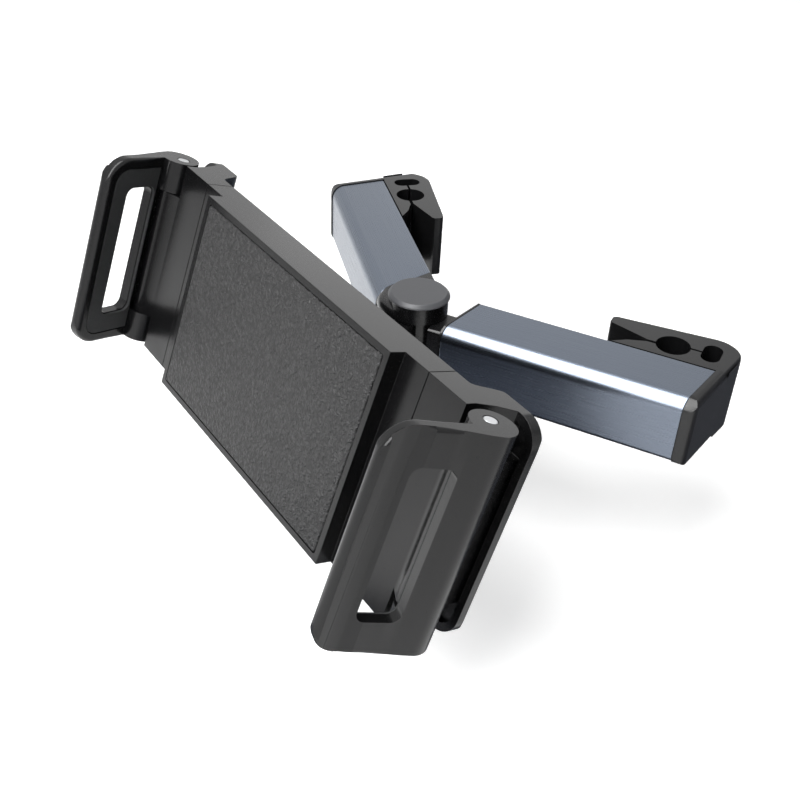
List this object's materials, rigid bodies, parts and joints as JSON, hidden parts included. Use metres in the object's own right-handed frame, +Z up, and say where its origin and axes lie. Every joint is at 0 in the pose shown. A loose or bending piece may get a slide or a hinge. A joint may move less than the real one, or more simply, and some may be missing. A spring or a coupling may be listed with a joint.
{
  "type": "headrest tablet mount",
  "caption": "Tablet holder with folding side flaps on a ball joint, carried by two hinged arms whose hooks clip to a car headrest's posts.",
  "frame": {"origin": "axis of the right headrest post at the arms' mid height", "axes": "+Z up along the headrest posts, +X across the car to the right-hand hook, -Y towards the person who looks at the tablet"},
  "size_m": [0.2191, 0.1877, 0.0968],
  "materials": {
    "sleeve_metal": "anodised, brushed along the arm",
    "black_plastic": "satin moulded",
    "hook_plastic": "satin moulded",
    "cap_plastic": "fine texture",
    "holder_plastic": "fine spark texture",
    "pad_leather": "grained imitation leather",
    "flap_rubber": "matte",
    "white_nylon": "natural nylon",
    "ball_steel": "nickel plated",
    "pin_steel": "turned",
    "zinc_steel": "zinc plated",
    "spring_steel": "drawn wire"
  },
  "bodies": {
    "right_arm": {"right_sleeve": "sleeve_metal", "right_core": "black_plastic", "right_hook": "hook_plastic", "right_hook_screws": "zinc_steel"},
    "hub": {"hub_body": "black_plastic", "hub_cap": "cap_plastic", "pivot_bolt": "zinc_steel", "pivot_nut": "zinc_steel", "hub_washers": "zinc_steel", "bottom_cap": "black_plastic", "ball_stud": "ball_steel"},
    "left_arm": {"left_sleeve": "sleeve_metal", "left_core": "black_plastic", "left_hook": "hook_plastic", "left_hook_screws": "zinc_steel"},
    "ball_liner": {"ball_liner": "white_nylon"},
    "seat_cup": {"seat_cup": "black_plastic"},
    "holder": {"front_shell": "holder_plastic", "back_cover": "holder_plastic", "cover_screws": "zinc_steel", "grip_pad": "pad_leather", "left_spring": "spring_steel", "right_spring": "spring_steel"},
    "locking_ring": {"locking_ring": "black_plastic"},
    "pinion": {"pinion": "white_nylon"},
    "left_bracket": {"left_bracket": "holder_plastic"},
    "right_bracket": {"right_bracket": "holder_plastic"},
    "left_flap": {"left_flap": "holder_plastic", "left_flap_pin": "pin_steel", "left_flap_pad": "flap_rubber"},
    "right_flap": {"right_flap": "holder_plastic", "right_flap_pin": "pin_steel", "right_flap_pad": "flap_rubber"}
  },
  "joints": [
    {"name": "hub_turn", "type": "hinge", "parent": "right_arm", "child": "hub", "pos_m": [-0.07789, -0.05728, 0], "axis": [0, 0, 1], "range_deg": [-20, 20]},
    {"name": "left_arm_fold", "type": "hinge", "parent": "hub", "child": "left_arm", "pos_m": [-0.07789, -0.05728, 0], "axis": [0, 0, 1], "range_deg": [-20, 20]},
    {"name": "ball_pan", "type": "hinge", "parent": "hub", "child": "ball_liner", "pos_m": [-0.07721, -0.10028, -0.0015], "axis": [0, 0, 1], "range_deg": [-20, 20]},
    {"name": "ball_tilt", "type": "hinge", "parent": "ball_liner", "child": "seat_cup", "pos_m": [-0.07721, -0.10028, -0.0015], "axis": [0.9993, -0.0384, 0], "range_deg": [-6.7, 43.3]},
    {"name": "holder_roll", "type": "hinge", "parent": "seat_cup", "child": "holder", "pos_m": [-0.07721, -0.10028, -0.0015], "axis": [-0.0364, -0.9487, 0.314], "continuous": true},
    {"name": "ring_loosen", "type": "hinge", "parent": "holder", "child": "locking_ring", "pos_m": [-0.07721, -0.10028, -0.0015], "axis": [0.0364, 0.9487, -0.314], "range_deg": [0, 90]},
    {"name": "right_bracket_slide", "type": "slide", "parent": "holder", "child": "right_bracket", "axis": [0.9983, -0.0488, -0.0315], "range_m": [0, 0.035], "stiffness_N_per_m": 240, "springref_m": -0.02, "deforming": ["right_spring", "left_spring"]},
    {"name": "left_bracket_slide", "type": "slide", "parent": "holder", "child": "left_bracket", "axis": [-0.9983, 0.0488, 0.0315], "range_m": [0, 0.035], "deforming": ["left_spring", "right_spring"]},
    {"name": "pinion_turn", "type": "hinge", "parent": "holder", "child": "pinion", "pos_m": [-0.07788, -0.11764, 0.00425], "axis": [-0.0364, -0.9487, 0.314], "range_deg": [0, 290]},
    {"name": "right_flap_fold", "type": "hinge", "parent": "right_bracket", "child": "right_flap", "pos_m": [0.02045, -0.12529, 0.00208], "axis": [0.0452, 0.3123, 0.9489], "range_deg": [-74, 16]},
    {"name": "left_flap_fold", "type": "hinge", "parent": "left_bracket", "child": "left_flap", "pos_m": [-0.17642, -0.11568, 0.00829], "axis": [0.0452, 0.3123, 0.9489], "range_deg": [-22, 68]}
  ],
  "couplings": [
    {"joint": "left_bracket_slide", "follows": "right_bracket_slide", "ratio": 1},
    {"joint": "pinion_turn", "follows": "right_bracket_slide", "rad_per_m": 142.86}
  ]
}
